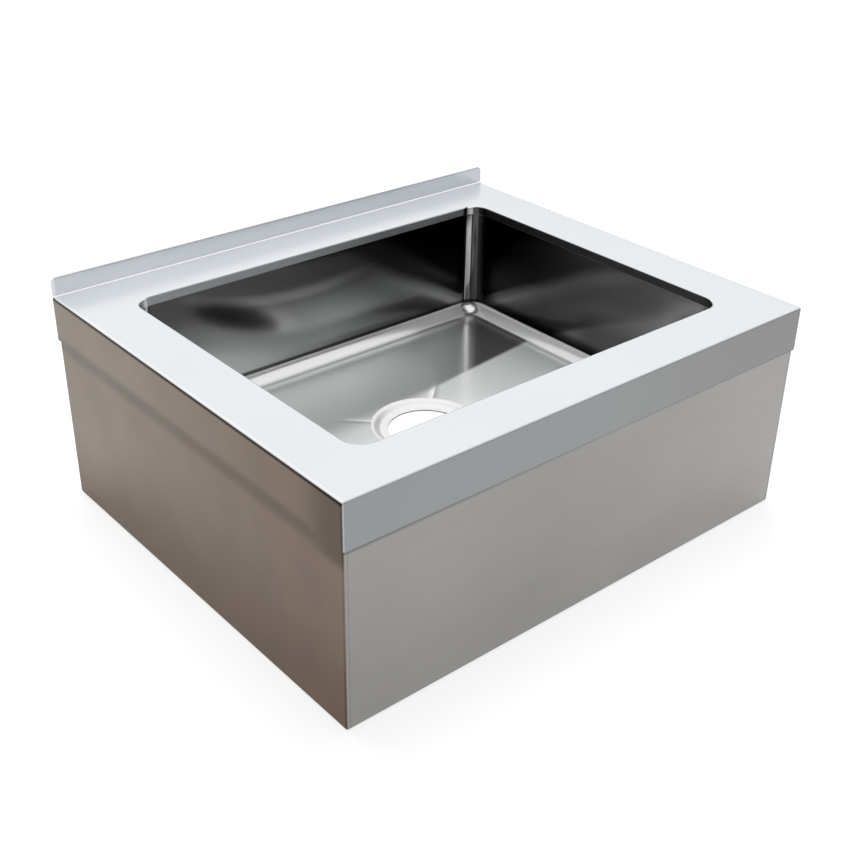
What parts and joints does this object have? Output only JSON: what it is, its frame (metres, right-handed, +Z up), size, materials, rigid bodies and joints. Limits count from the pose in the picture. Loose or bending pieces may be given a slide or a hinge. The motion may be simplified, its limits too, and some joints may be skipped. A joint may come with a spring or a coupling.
{
  "type": "mop service sink",
  "caption": "Low floor-standing stainless steel mop sink: flat deck with apron and rear upstand, deep coved bowl with a bare drain hole, on an enclosed sheet-metal cabinet.",
  "frame": {"origin": "on the floor, in the middle of the sink's footprint", "axes": "+X along the front to the right (the width), +Y from the front towards the wall (the depth), +Z up"},
  "size_m": [0.635, 0.5334, 0.2765],
  "materials": {
    "deck_steel": "satin stainless, fine grain along the width",
    "bowl_steel": "satin stainless, drawn bowl, slightly brighter cove",
    "panel_steel": "satin stainless, fine grain along the panel",
    "inner_steel": "mill-finish stainless, unpolished",
    "bearer_rubber": "black ribbed rubber strip",
    "damping_pad": "dark grey bitumen-like damping sheet"
  },
  "bodies": {
    "root": {"deck": "deck_steel", "bowl": "bowl_steel", "front_panel": "panel_steel", "left_panel": "panel_steel", "right_panel": "panel_steel", "rear_panel": "panel_steel", "front_left_corner_angle": "inner_steel", "front_left_gusset": "inner_steel", "front_left_cleat": "inner_steel", "front_right_corner_angle": "inner_steel", "front_right_gusset": "inner_steel", "front_right_cleat": "inner_steel", "rear_left_corner_angle": "inner_steel", "rear_left_gusset": "inner_steel", "rear_left_cleat": "inner_steel", "rear_right_corner_angle": "inner_steel", "rear_right_gusset": "inner_steel", "rear_right_cleat": "inner_steel", "left_bearer": "inner_steel", "left_bearer_pad": "bearer_rubber", "right_bearer": "inner_steel", "right_bearer_pad": "bearer_rubber", "front_sound_pad": "damping_pad", "rear_sound_pad": "damping_pad", "left_sound_pad": "damping_pad", "right_sound_pad": "damping_pad"}
  },
  "joints": []
}
